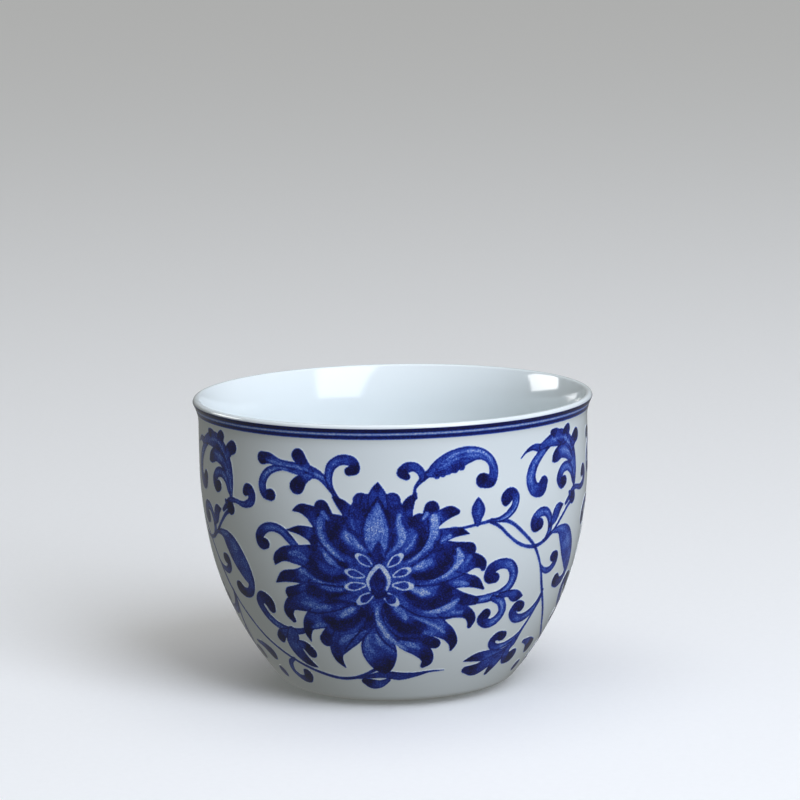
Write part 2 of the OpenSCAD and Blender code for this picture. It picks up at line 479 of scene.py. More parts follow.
# %% Upper-left leaf scroll
leaf([(-7.7, 16.7, 0.9), (-9.3, 19, 1.2), (-11, 20.8, 1.7), (-14, 21.8, 2.6), (-17, 22.2, 2.2),
      (-20, 22.8, 1.8), (-22.5, 23.6, 2.2), (-24, 23.5, 2.6)], light=0.25, tip_from=0.75)
leaf([(-13, 21.5, 1.5), (-14.5, 23.2, 2.2), (-15.6, 24.6, 2.8)], tip_from=0.3)
leaf([(-13, 21, 1.5), (-15, 19.8, 2.4), (-16, 18.6, 3.2)], tip_from=0.3)
leaf([(-17, 21.8, 0.8), (-20, 21.9, 1.2), (-22.8, 20.8, 1.7), (-24.2, 18.6, 1.9), (-23.6, 16.4, 1.9),
      (-22.2, 16.4, 2.4)], light=0.2, tip_from=0.7)
leaf([(-8.6, 18, 0.8), (-9.3, 20.5, 1.5), (-8.6, 23, 1.9), (-6.4, 24.2, 2.0), (-4.3, 23.6, 2.0),
      (-4, 22.3, 1.8), (-5.2, 22, 1.8)], light=0.2, tip_from=0.6)
touch([(-23, 23.3, 0.4), (-19, 22.4, 0.5), (-15, 22.3, 0.6), (-11.5, 20.9, 0.3)], 0.3, 0.7, 0.3)
touch([(-23, 20.7, 0.2), (-20, 21.7, 0.3), (-15, 20.9, 0.5), (-12, 20.7, 0.3)], 0.35, 0.6, 0.3)
touch([(-20, 22.3, 0.25), (-14, 21.5, 0.25), (-9.5, 19.5, 0.25)], 0.88, 0.7, 0.15)
print_covered("upper-left scroll")

# %% The comma leaf and the small curl to the right of the bloom's top
leaf([(7.4, 16.8, 0.9), (7.3, 18.3, 0.6), (8.3, 19.8, 0.9), (9.6, 21, 1.4), (11, 22, 1.6)])
leaf([(8.8, 20.2, 1.0), (8.6, 21.6, 1.5), (7.4, 22.7, 1.8), (5.8, 22.6, 2.0), (4.9, 21.6, 1.9),
      (5.8, 20.9, 1.4)], tip_from=0.5)
leaf([(9.8, 21, 0.9), (12, 22.2, 3.2), (14.8, 23.4, 4.2), (17.6, 24.4, 3.4), (20.4, 24.5, 2.3),
      (22.7, 23, 1.8), (23.4, 20.7, 2.0), (22.6, 18.9, 2.4), (21, 19.2, 3)], body=0.62, tip_from=0.8)
for x, y in ((11.6, 20.9), (12.8, 21.2), (14, 21.6), (15.2, 21.8), (16.6, 22.2)):
    ball(x, y, 0.7, "leaf", 0.72, 0.8)
touch([(12.6, 23.2, 0.2), (15, 24.6, 0.45), (18, 25.2, 0.5), (20.6, 24.9, 0.5), (22.8, 23.1, 0.5),
      (23.6, 21, 0.3)], 0.32, 0.85, 0.25)
touch([(12.4, 22.3, 0.3), (15, 23.6, 0.4), (18, 24.3, 0.4), (20.4, 24.1, 0.3)], 0.36, 0.8, 0.25)
touch([(13, 21.8, 0.6), (16, 22.8, 0.6)], 0.78, 0.6, 0.4)
print_covered("comma leaf")

# %% The bud and the curl on the vine right of the bloom
leaf([(19.9, 10.9, 1.3), (19.9, 12, 1.9), (20, 13.5, 2.9), (20, 14.6, 2), (20, 16, 0.2)], body=0.72,
      rim=0.9, tip_from=0.9)
touch([(20.1, 12.8, 0.4), (20.2, 14.2, 0.7), (20.1, 15, 0.3)], 0.42, 0.85, 0.35)
leaf([(22.8, 11, 0.6), (25, 11.2, 1.1), (27.2, 12.2, 1.6), (28.5, 13.9, 1.7), (28.5, 15.3, 1.9),
      (27.5, 16, 2.4), (26.3, 15.1, 2.6), (26.1, 14.4, 1.6)], light=0.35, light_side=-0.3,
      tip_from=0.62)
print_covered("bud and curl")

# %% The hook and the tall leaf cluster
leaf([(29.9, 22.5, 0.2), (31.3, 23.6, 0.5), (33.6, 24.2, 1.3), (35.4, 23.8, 1.8), (37.6, 24, 1.4)],
      tip_from=0.95)
leaf([(37.2, 24, 1.6), (35, 22.4, 1.9), (33, 20.2, 2.3), (32.5, 17.8, 2.6), (33.6, 15.9, 2.8),
      (35.3, 15.8, 3), (36.2, 17.1, 2.4)], light=0.25, tip_from=0.7)
leaf([(35.4, 24, 1.3), (39, 24.9, 2.6), (42.1, 24.9, 3.6), (44.6, 23.5, 4), (46.4, 21, 3.8),
      (47.5, 18, 2.6), (47.8, 15, 1.2), (47.7, 12.5, 0.5)], tip_from=0.95, light=0.2)
leaf([(42.1, 24.8, 2), (40.3, 26, 2.2), (39, 26.4, 1.2)], tip_from=0.4)
leaf([(43.9, 24.5, 2), (44.3, 25.8, 2.6), (44.8, 26.3, 2.2)], tip_from=0.3)
leaf([(46.6, 22.5, 2), (47.9, 24, 2.6), (48.8, 24.5, 2.8)], tip_from=0.4)
leaf([(46.1, 20.3, 1.6), (44.1, 21.8, 2.6), (41.9, 22.2, 2.8), (40.3, 21.5, 2.4), (39.2, 20.8, 0.8)],
      tip_from=0.6, light=0.2)
leaf([(47.3, 15.5, 1.0), (46.3, 17.8, 1.6), (44.3, 19, 2), (42.3, 18.4, 2), (41.5, 16.8, 2.2),
      (42.3, 15.9, 2.4), (43.2, 16.2, 2.2)], light=0.2, tip_from=0.65)
touch([(39.8, 25, 0.4), (43.4, 24.8, 0.6), (46.1, 22.6, 0.5), (47.3, 19.5, 0.4), (47.7, 16.5, 0.2)],
      0.32, 0.75, 0.3)
touch([(41.2, 22.5, 0.3), (44.3, 22.2, 0.5), (46.6, 20, 0.4), (47.4, 17, 0.2)], 0.32, 0.7, 0.3)
touch([(40.7, 23.7, 0.2), (44.8, 23.2, 0.3), (46.8, 21, 0.25), (47.5, 18, 0.2)], 0.9, 0.8, 0.15)
print_covered("tall leaf cluster")

# %% What hangs on the upper vine: a bead, a hook, a curl with a leaf, and the big leaf
leaf([(44.3, 11.5, 0.8), (46.1, 12.8, 1.2), (47, 13.6, 1.4), (48.3, 14, 1.1), (52.5, 13.7, 1.4),
      (54.2, 14.6, 1.9), (54.4, 16, 2.1), (53.3, 16.8, 2.4), (52.6, 16.2, 1.6)], tip_from=0.7)
leaf([(45.7, 13.5, 0.8), (46.4, 12.8, 1.6), (47.3, 12.3, 2.8)], tip_from=0.3)
leaf([(37.4, 5, 0.7), (38.8, 6.8, 1.4), (38.7, 9.2, 1.6), (37.2, 11, 1.8), (35.2, 11, 2),
      (33.9, 9.7, 2.2), (34.2, 8.6, 2.6), (35.3, 8.8, 2.6)], light=0.25, tip_from=0.7)
leaf([(38.9, 7.8, 0.6), (40.3, 9.3, 2.2), (41.4, 11, 2.2), (43.3, 11.5, 0.2)], tip_from=0.6)
leaf([(37.2, 0.2, 0.4), (39, -1.3, 1.2), (41.2, -1.5, 1.5), (42.7, -0.2, 1.9), (42.4, 1, 2.4),
      (41.6, 1.1, 2.2)], tip_from=0.6)
leaf([(37, 5.2, 0.5), (40, 6.4, 0.8), (43, 6.4, 2), (45.4, 4.8, 4.4), (47.4, 2.3, 5.2),
      (49.2, -0.5, 4.2), (50.2, -3, 2.2), (49, -4.9, 2), (46.6, -5.3, 2.4), (45.2, -4.6, 3)],
      light=0.15, light_side=0.3, tip_from=0.72)
print_covered("big leaf")

# %% Left of the bloom: a curl at its shoulder, the comma with a lobed leaf, the small low curl
leaf([(-17, 6.5, 1.6), (-18.6, 8.2, 1.8), (-20.2, 9.5, 1.8), (-22.5, 10, 1.9), (-24.8, 9.2, 2),
      (-26, 7.6, 2.2), (-25.5, 6.4, 2.6), (-24.6, 6.4, 2.2)], light=0.2, tip_from=0.65)
leaf([(-18, -11.6, 1), (-20, -12.2, 1.4), (-24, -12.2, 1.6), (-27, -11.2, 1.9), (-29.4, -9, 2.1),
      (-30.2, -6.8, 2.2), (-28.7, -5.4, 2.6), (-27, -6.6, 3), (-26.8, -7.6, 2.4)], light=0.15,
      tip_from=0.65)
leaf([(-24, -13, 2.2), (-26.3, -13.6, 2.4), (-27.3, -14.7, 2.4)], tip_from=0.4)
leaf([(-22.5, -12.8, 3), (-23.6, -15.8, 4), (-22.6, -18.5, 3.4), (-20.3, -20.6, 1.6),
      (-19, -21.2, 0.4)], tip_from=0.5)
leaf([(-21.5, -15.5, 2), (-20, -16, 2.6), (-19, -17.3, 3)], tip_from=0.3)
leaf([(-26, -19.8, 0.7), (-28.6, -21.4, 1.4), (-29.4, -23.6, 1.7), (-27.5, -25.4, 1.9),
      (-25, -25.3, 2.4), (-23.9, -23.9, 3)], tip_from=0.6)
print_covered("left of the bloom")

# %% Under the bloom: the long blade and the oval leaf
leaf([(-12, -23.8, 0.4), (-6, -23.2, 0.8), (0, -22.3, 2), (4, -22.8, 2.2), (8, -22.5, 1.3),
      (12, -21.8, 0.6), (16, -21.7, 0.2)], tip_from=0.98, body=0.72)
leaf([(1, -23.8, 1), (-1.5, -25, 2.2), (-4.2, -25, 2.8), (-6, -24.3, 1.6)], tip_from=0.5)
print_covered("under the bloom")

# %% Right of the bloom: the S-scroll with its pointed leaf and lower curl
leaf([(17, -5.6, 2), (20, -5.2, 1.8), (23.5, -5, 1.9), (27, -4.3, 2), (29.1, -2.6, 2),
      (29.5, -0.4, 2.3), (28.2, 1.5, 2.2), (25.6, 2, 2.2), (23.6, 0.9, 2.6), (23.5, -0.4, 2.8),
      (24.8, -0.8, 2.2)], light=0.3, tip_from=0.72)
leaf([(27, -4.9, 1.6), (29.3, -4.8, 1.6), (31.2, -5.6, 2.6), (33.5, -5.9, 0.2)], tip_from=0.5)
leaf([(25, -5.2, 1.4), (27.4, -6.4, 2), (28.2, -8.6, 2.1), (27, -10.4, 2.2), (24.7, -10.9, 2.2),
      (23.1, -9.6, 2.4), (23.9, -8.7, 2.6)], light=0.3, tip_from=0.65)
print_covered("right of the bloom")

# %% The lower right: a hooked leaf, its stem, and the low cluster
leaf([(40.5, -5.8, 0.6), (39.9, -8.2, 1.5), (38.1, -10.2, 2), (35.4, -11.2, 2.1), (32.7, -10.7, 2.1),
      (31.6, -9.2, 2.1), (32.7, -8, 2.4), (33.8, -8.4, 2.4)], light=0.2, tip_from=0.7)
vine([(40.3, -6.5, 0.6), (39.8, -9, 0.7), (38.5, -12, 0.8), (37.2, -14.5, 1.1), (36.4, -17, 1.6)])
leaf([(37.2, -14.8, 1), (34.9, -16.4, 1.4), (31.8, -17.4, 1.6), (29, -17.2, 1.9), (27.9, -15.8, 2),
      (29.2, -14.6, 2.2), (30.9, -14.8, 2.4)], tip_from=0.6, light=0.15)
leaf([(36.3, -17.5, 1.6), (32.7, -19.2, 2), (28, -19.3, 2.8), (24.5, -19.3, 2.2), (21.2, -19.9, 0.3)],
      tip_from=0.6, light=0.15)
leaf([(33.6, -19.5, 1.8), (29.5, -21.4, 3.2), (26, -22.8, 3.4), (22.4, -22.4, 1.8)], tip_from=0.5)
leaf([(34, -19.5, 1.8), (32.1, -21.8, 3), (30.9, -24.4, 1.4)], tip_from=0.5)
leaf([(36.1, -17, 2), (34.9, -19.5, 2.2), (36.1, -21.3, 3), (38.1, -21, 3.6)], tip_from=0.5, light=0.1)
leaf([(40.7, -17.8, 0.8), (43.9, -18.5, 2.2), (46.1, -19.9, 3.6)], tip_from=0.5)
ball(45.6, -25, 1.5, "leaf")
print_covered("low cluster")

# %% [markdown]
# ## The bloom
# A lotus seen from the front: long petals that all spring from the heart, each with a lobed
# outer end, a dark hollow along one side and a pale fold along the other.

# %% The outer lobes, down the left side from the top and then down the right side
BACK_PETALS = [
    [(-3, 4, 5), (-7, 8, 5.5), (-11, 12, 4.5), (-13.4, 13.7, 2.8), (-15.2, 14.3, 1.9),
     (-17.1, 13.8, 0.3)],
    [(-7, 9, 4), (-10, 12.6, 3.4), (-10.9, 14.8, 3)],
    [(-4, 6, 5), (-7, 10, 6.5), (-8.4, 11.8, 3.6)],
    [(-2.6, 6, 4), (-4.2, 11.4, 3.6), (-5.2, 13.6, 2.8), (-6.6, 15.3, 2.2), (-8.4, 16.8, 0.6)],
    [(-5, 3, 5), (-10, 7, 6), (-13, 9.1, 3.2), (-15.6, 9.9, 2), (-18.8, 9.8, 0.2)],
    [(-5, 2, 5), (-11, 4, 6), (-17, 4.8, 4), (-20.3, 4.7, 2.8), (-22.2, 3.4, 1.6), (-22.7, 2.4, 0.3)],
    [(-5, 0, 5), (-12, 1, 6), (-17.5, 0.4, 3), (-20.8, 0, 2.3), (-23.3, -1.5, 0.2)],
    [(-12, -1.5, 5), (-17, -2.8, 3.2), (-19.8, -3.5, 3)],
    [(-6, -2, 5), (-12, -4, 6), (-17.5, -5.2, 4), (-20.8, -6.2, 2.8), (-21.8, -8, 2.4),
     (-21.1, -9.6, 1.4)],
    [(-5, -4, 5), (-10, -7, 6.5), (-15, -8.8, 4.6), (-17.2, -10.4, 2.8), (-18, -12.4, 1.7),
     (-17.9, -14.4, 0.3)],
    [(-8, -9, 5), (-12, -12.2, 3.6), (-13.6, -13.7, 3.2)],
    [(-3, -6, 5), (-7, -11, 6.5), (-9.8, -14, 5), (-11.5, -16.4, 3.4), (-11.6, -18.2, 2.3),
     (-10.4, -20.6, 0.4)],
    [(2.8, 5, 4), (5, 10, 4), (5.6, 13.6, 2.6), (6.2, 15.8, 2.1), (7.6, 17.6, 0.4)],
    [(4, 6, 5), (7, 10, 5), (8.2, 11.9, 3.6)],
    [(4, 4, 5), (9, 9, 5.5), (10.2, 12.6, 3.4), (10.6, 14.6, 2.9)],
    [(8, 8, 4), (11, 12, 3), (12.8, 13.1, 2.6), (14.4, 13.7, 2.2), (15.6, 13.6, 1.2)],
    [(5, 3, 5), (10, 7.5, 5), (13.5, 9.2, 2.6), (16, 9.6, 1.8), (18.2, 9, 0.2)],
    [(5, 2, 5), (11, 5, 6), (15.6, 5.6, 4), (18.3, 5.8, 3)],
    [(10, 2, 5), (17, 3, 4.4), (20, 3.3, 2.9), (21.4, 2.5, 2), (21.7, 1.6, 1.2)],
    [(6, 0, 5), (13, 0, 5), (17.4, -0.5, 3), (20, -1.1, 2.4), (22.3, -2.8, 0.4)],
    [(6, -2, 5), (13, -4, 6), (17.5, -4.7, 3.2), (20.5, -5.2, 2)],
    [(6, -4, 5), (12, -6.5, 5), (17, -7.1, 3.2), (19.4, -8, 2.5), (20.5, -9.7, 2), (20.3, -10.9, 1.2)],
    [(3, -6, 5), (7, -11, 6), (10, -13.5, 3.6), (12.6, -14.5, 2.4)],
    [(4, -5, 5), (9, -8.6, 6), (13, -10.8, 4.2), (15.7, -12.8, 3), (16.9, -14.8, 2),
     (16.7, -16.4, 0.6)],
    [(2, -6, 5), (5.5, -12.5, 6), (8.4, -15.5, 3.8), (10.5, -17.2, 3.5), (11, -18.6, 2.9),
     (10, -20, 1.4)],
]
for points in BACK_PETALS:
    fill(points, "bloom", body=0.6, tip_from=0.55, rim_w=0.45)
print_covered(f"{len(BACK_PETALS)} outer lobes")

# %% The middle of the bloom is solid colour before its folds are drawn
fill([(0, 8, 10), (0, 1, 15), (0, -7, 11)], "bloom", body=0.62, rim=0.62, tip=0.62)
touch([(-9, 2, 9), (0, 1, 12), (9, 1, 9)], 0.62, 1.0, 1.5)
touch([(-7, -6, 7), (0, -6, 8), (7, -6, 7)], 0.62, 1.0, 1.5)
touch([(-6, 8, 7), (0, 9, 7), (6, 8, 7)], 0.62, 1.0, 1.5)
print_covered("middle of the bloom")

# %% The dark hollows, broad and soft
HOLLOWS = [
    [(-3.6, 5, 1), (-6.4, 6.4, 1.8), (-8.4, 8.8, 2.2), (-8.4, 11, 2.4), (-6.8, 12.4, 2)],
    [(-3, 8, 0.8), (-3.6, 10.6, 1.5), (-2.8, 13.4, 1.4), (-1.8, 15.2, 0.8)],
    [(-6.6, 3.4, 1), (-11, 4.4, 1.8), (-13.2, 6.6, 2.2), (-12.8, 8.8, 1.4)],
    [(-6.8, 0.7, 1), (-11, 0.4, 2), (-13.6, 2.2, 2.6), (-13.4, 4.2, 2)],
    [(-7, -2.4, 1), (-11.5, -3, 2.2), (-14.8, -2.4, 2.8)],
    [(-3.6, -6.6, 1.4), (-7, -9.4, 2.4), (-10.4, -9.8, 2.8), (-12.4, -8.6, 1.8)],
    [(-2.4, -5.6, 1.6), (-2.6, -9, 2), (-4.6, -11, 1.2)],
    [(2.6, 7.4, 0.7), (2.8, 10.4, 1.3), (2.4, 13, 1.3), (1.6, 15.4, 0.7)],
    [(4.8, 4.6, 0.8), (7.4, 6.2, 1.4), (8.7, 8.6, 1.6), (8.4, 10.8, 2), (6.8, 12.2, 2.4)],
    [(4, 13.6, 0.5), (5, 15, 0.8)],
    [(7, 1.2, 1), (10.4, 1.3, 1.8), (13, 3, 2.8), (13, 5.4, 3), (12, 6.6, 2)],
    [(5.6, -2.6, 1.2), (8.6, -4.8, 2.2), (12.2, -4.8, 2.8), (13.6, -2.8, 3.4), (13.4, -1.6, 2)],
    [(1.2, -5.2, 1.6), (2.4, -8.4, 2.2), (5.6, -10.6, 2.6), (8.8, -10.2, 2.4), (7.6, -9.4, 1.4)],
    [(2.6, -13.2, 0.4), (6.4, -12.8, 1), (10.4, -13.4, 1.4)],
    [(-5.2, -5, 0.5), (-8, -4.4, 0.8), (-12, -4.8, 0.8)],
]
for points in HOLLOWS:
    touch(points, 0.96, 0.92, 0.55)
print(len(HOLLOWS), "hollows")

# %% The bottom petal, in front of its neighbours
fill([(-1, -9.5, 1), (-1.6, -12.5, 4), (-1, -15.6, 8.4), (-0.4, -18.2, 6.8), (0.2, -21.6, 0.8)],
      "bloom", body=0.56, tip_from=0.5, rim_w=0.6)
print_covered("bottom petal")

# %% The tall middle petal: a round-shouldered flame, with a three-lobed crown behind it
for side in (-1, 1):
    fill([(side * 4, 11.5, 4), (side * 3.6, 14, 3.8), (side * 3.6, 15.4, 2.4)], "bloom",
         body=0.76, tip=0.85)
    ball(side * 3, 16.3, 1.6, "bloom", 0.8, 0.94)
fill([(-2.8, 16.2, 2.8), (0.1, 15.9, 3.8), (3, 16.2, 2.8)], "bloom", body=0.74, tip=0.74)
fill([(0.2, 14.5, 4), (0.2, 17, 3.6), (0.2, 18.4, 2.2), (0.3, 19.9, 0.2)], "bloom", body=0.6,
      tip_from=0.5)
fill([(0, 5, 1.6), (-0.1, 7.4, 5), (-0.2, 10, 6), (-0.1, 12.6, 5), (0.1, 15, 2.6), (0.2, 17.2, 0.3)],
      "bloom", body=0.42, rim=0.88, tip=0.55, rim_w=0.9)
print_covered("tall petal and crown")

# %% The pale folds, narrower and crisper
FOLDS = [
    ([(-0.2, 8, 2), (-0.4, 10.6, 3.2), (0, 13, 2.2), (0.2, 15.4, 0.8)], 0.3),
    ([(-2, 6.3, 0.5), (-3.8, 7.3, 0.9), (-5.4, 8.8, 1.7), (-6.2, 9.8, 1)], 0.34),
    ([(-4.6, 10.8, 0.4), (-4.9, 12.4, 0.7)], 0.5),
    ([(-7, 4.3, 0.4), (-9, 6, 0.8), (-10.8, 8.2, 1.1), (-11.5, 10.4, 1.2), (-11.3, 12.4, 1.3)], 0.32),
    ([(-9.8, 12.6, 0.8), (-10.6, 13.6, 1.2)], 0.4),
    ([(-8, 2.9, 0.5), (-9.8, 4.2, 1.4), (-10.8, 5.4, 0.8)], 0.36),
    ([(-15, 4, 0.6), (-16.6, 5, 1.3), (-18.6, 5.2, 0.8)], 0.44),
    ([(-9, -0.8, 0.4), (-13, -0.2, 0.6), (-16.4, 1.8, 0.9)], 0.38),
    ([(-8, -1.9, 0.7), (-10.4, -1.8, 1.1), (-12, -1.4, 0.6)], 0.38),
    ([(-11, -5.8, 0.8), (-14, -5.8, 1.5), (-17.4, -5.2, 1)], 0.42),
    ([(-5.6, -5.8, 0.8), (-7.2, -6.7, 1.4), (-8.6, -7.8, 0.8)], 0.32),
    ([(-12, -10, 0.5), (-14.4, -10.2, 0.9), (-16.4, -11, 0.6)], 0.44),
    ([(-3.6, -11, 0.3), (-6.4, -12.2, 0.8), (-9, -13.2, 1.3), (-10.2, -14.4, 1)], 0.38),
    ([(3, 6.5, 0.5), (4.4, 8, 1.3), (4.8, 9.8, 1.6), (4.1, 11.8, 1.1), (4.3, 13.4, 0.7)], 0.3),
    ([(5.4, 6.4, 0.2), (6.7, 7.8, 0.3), (7.5, 9.5, 0.25)], 0.26),
    ([(6.2, 4.1, 0.5), (8.6, 5.8, 0.9), (10.4, 8.2, 1.4), (11.2, 10.6, 1.6), (11, 12.8, 1.4)], 0.28),
    ([(8.9, 12.6, 0.6), (9.6, 13.5, 1)], 0.38),
    ([(12.6, 8, 0.5), (14.2, 8.8, 0.9)], 0.4),
    ([(7.2, 2.6, 0.8), (8.8, 3.3, 1.5), (10.2, 3.9, 1.4)], 0.32),
    ([(10.6, -0.2, 0.4), (13.4, 0.8, 0.8), (15.6, 2.4, 1.1), (16.5, 4.4, 1.5), (16, 6, 1)], 0.3),
    ([(17.8, 3, 0.5), (18.6, 4.4, 0.8)], 0.42),
    ([(7, -1.8, 0.9), (8.8, -2.4, 1.6), (10, -2.8, 1)], 0.32),
    ([(15.6, -0.9, 0.8), (17.4, -1.2, 1.1), (18.6, -1.4, 0.6)], 0.36),
    ([(9.4, -6.9, 0.5), (12.6, -6.6, 1.2), (15, -5.8, 1.4), (16.6, -4.6, 0.8)], 0.32),
    ([(15.6, -7.4, 0.6), (17.8, -7.4, 0.8)], 0.42),
    ([(3.2, -5.7, 0.8), (4.4, -6.6, 1.6), (5.4, -8, 1)], 0.3),
    ([(6, -7.2, 0.3), (8.8, -8.6, 0.6), (11.8, -10, 0.8), (14.2, -11.8, 0.6)], 0.34),
    ([(9.6, -11.6, 0.8), (11.6, -12, 1.1)], 0.46),
    ([(-0.7, -5.8, 0.5), (-0.7, -8.4, 0.9), (0.4, -11, 1.1), (3, -13.8, 0.9), (5.8, -15.8, 0.5)], 0.28),
    ([(4.2, -13.6, 0.6), (6.6, -14.4, 1.2), (8.6, -15.4, 0.8)], 0.42),
    ([(-3.2, -12.4, 0.4), (-3.7, -14.4, 1.1), (-2.6, -16, 0.6)], 0.36),
    ([(-1.2, -12, 0.8), (-0.4, -14, 1.2), (1.6, -15.2, 0.9)], 0.38),
]
for points, shade in FOLDS:
    touch(points, shade, 0.92, 0.3)
for x in (-1.3, -0.4, 0.6):
    touch([(x, 8, 0.1), (x, 10.6, 0.16), (x * 0.7 + 0.1, 13.4, 0.1)], 0.52, 0.6, 0.15)
print(len(FOLDS), "folds")

# %% Fine dark lines that part the petals
PARTINGS = [
    [(-4.6, 5, 0.3), (-8.2, 7, 0.35), (-10, 10, 0.35), (-10, 12.2, 0.3)],
    [(-6.6, 3, 0.3), (-10, 5.8, 0.35), (-12.5, 9.2, 0.35), (-13, 12, 0.3)],
    [(-7.4, 0.8, 0.3), (-12.4, 1, 0.35), (-17, 3.4, 0.3)],
    [(-7.4, -1.2, 0.3), (-12, -0.9, 0.35), (-17.5, -0.6, 0.3)],
    [(-5.2, -4.6, 0.3), (-10, -6.6, 0.35), (-15.5, -7.4, 0.35), (-19, -6.6, 0.3)],
    [(-4, -5.6, 0.3), (-6.4, -8.6, 0.3), (-9, -8.8, 0.3)],
    [(-1.8, -6, 0.3), (-4, -10.2, 0.35), (-7.4, -13.6, 0.35), (-9.4, -16, 0.3)],
    [(4.8, 4.8, 0.3), (8.2, 6.4, 0.35), (9.8, 9.2, 0.35), (9.8, 12.2, 0.3)],
    [(6.6, 3.2, 0.3), (10.4, 5.8, 0.35), (12.4, 9.2, 0.35), (12.4, 12, 0.3)],
    [(7.4, 0.4, 0.3), (11.6, 0.6, 0.35), (14.6, 2.8, 0.35), (15, 6, 0.3)],
    [(7, -1, 0.3), (12, -0.9, 0.35), (15.6, 0.2, 0.35), (18.4, 1, 0.3)],
    [(5.4, -4, 0.3), (9.6, -6.2, 0.35), (13.2, -5.6, 0.35), (15.6, -3.4, 0.3)],
    [(4, -5, 0.3), (8.4, -7.6, 0.35), (13.6, -8.4, 0.35), (18, -8.2, 0.3)],
    [(0.2, -6, 0.3), (0.9, -9.2, 0.35), (4, -12.6, 0.35), (8, -13.8, 0.3)],
    [(-1.5, -8.4, 0.35), (-0.8, -11.6, 0.45), (1.8, -14.8, 0.4), (5, -16.8, 0.35)],
]
for points in PARTINGS:
    touch(points, 0.94, 0.85, 0.16)
print(len(PARTINGS), "parting lines")

# %% The heart: a bud under a pale arch, in a ring of eight small petals edged with bare white
BARE = 0.1


def small_petal(root, tip, width, line):
    """A small oval petal. Its bare edge is line wide at the sides and twice that at the tip."""
    root, run = np.array(root, float), np.subtract(tip, root)
    for inset, ends, shade in ((0, 0, BARE), (line, 2 * line / math.hypot(*run), 0.7)):
        ribs = ((0.06, 0.45), (0.35, 0.9), (0.6, 1.0), (0.84 - ends, 0.7))
        where, depth, _, _ = stroke_field(
            [(*(root + share * run), max(0.2, width * wide - 2 * inset)) for share, wide in ribs]
        )
        lay(where, depth, shade)


touch([(0, 3.6, 2), (0, 5.6, 2.6), (0.1, 7, 1.6), (0.2, 8.4, 0.2)], 0.8, 1.0, 0.2)
touch([(0.5, 7.4, 0.1), (1, 6, 0.3), (1.3, 5, 0.1)], 0.4, 0.8, 0.15)
SMALL_PETALS = [
    ((-1.3, 3.3), (-4.5, 5.7), 1.9, 0.26), ((1.9, 3.2), (4.9, 5.7), 1.9, 0.32),
    ((-3, 1.1), (-7, 2.2), 1.8, 0.26), ((2.9, 1.2), (6.6, 2.6), 1.8, 0.3),
    ((-2.8, -0.7), (-7.3, -1.3), 1.9, 0.28), ((2.8, -0.7), (7.1, -1.1), 2.0, 0.36),
    ((-1.2, -2.4), (-4.9, -4.8), 2.1, 0.36), ((0.8, -2.5), (3.8, -5), 2.3, 0.38),
]
for root, tip, width, line in SMALL_PETALS:
    small_petal(root, tip, width, line)
touch([(0.1, 3.8, 0.6), (0, 1.8, 4), (-0.2, 0, 5), (0, -2.2, 3)], 0.84, 1.0, 0.2)
touch([(-1.9, -1.8, 0.4), (-2.3, 0, 0.7), (-1.4, 1.9, 0.9), (0.2, 3.3, 0.9), (1.5, 1.9, 1.0),
      (2, 0, 0.8), (1.5, -1.8, 0.4)], 0.14, 1.0, 0.12)
touch([(0, 2.2, 0.2), (-0.1, 1, 1.8), (-0.1, -0.6, 2.7), (-0.1, -2.2, 1.8)], 0.86, 1.0, 0.25)
touch([(1.4, 0.8, 0.15), (1.5, -0.6, 0.3), (1, -1.8, 0.15)], 0.5, 0.9, 0.15)
print(len(SMALL_PETALS), "small petals round the heart")

# %% The print fades out over its last quarter of a millimetre
BLEED = 0.15
reach = {group: field + BLEED for group, field in inside.items()}
reach["leaf"] = np.minimum(reach["leaf"], -reach["bloom"])
reach["vine"] = np.minimum(reach["vine"], np.minimum(-reach["bloom"], -inside["leaf"] - BLEED))
printed = np.maximum.reduce(list(inside.values()))
tone *= smooth_step(-BLEED, EDGE, printed)
for group, field in reach.items():
    print(f"{group}: {np.count_nonzero(field > 0) * GRID**2:.0f} square millimetres of colour")

# %% [markdown]
# ## Wrapping the sheet round the wall
# x on the sheet becomes an angle round the cup and y a distance along the wall. The colour is
# cut out of the grid where the drawing ends: a square of the grid that lies inside is kept
# whole, and one that the edge crosses is cut along a line between the crossings, which is how
# contour lines are drawn on a map. Solidify then gives the colour its thickness: it stands a few
# hundredths of a millimetre proud of the glaze and reaches a little way into it, so that no gap
# shows. The strength of the colour is kept on the points as an attribute.

# %% Cut one group of motifs out of the sheet
BLOOM_HEIGHT = 28.15
PROUD = 0.04
THICK = 0.06
bloom_down = np.interp(-BLOOM_HEIGHT, -wall[:, 1], wall_down)
NARROWEST_CUT = 0.03


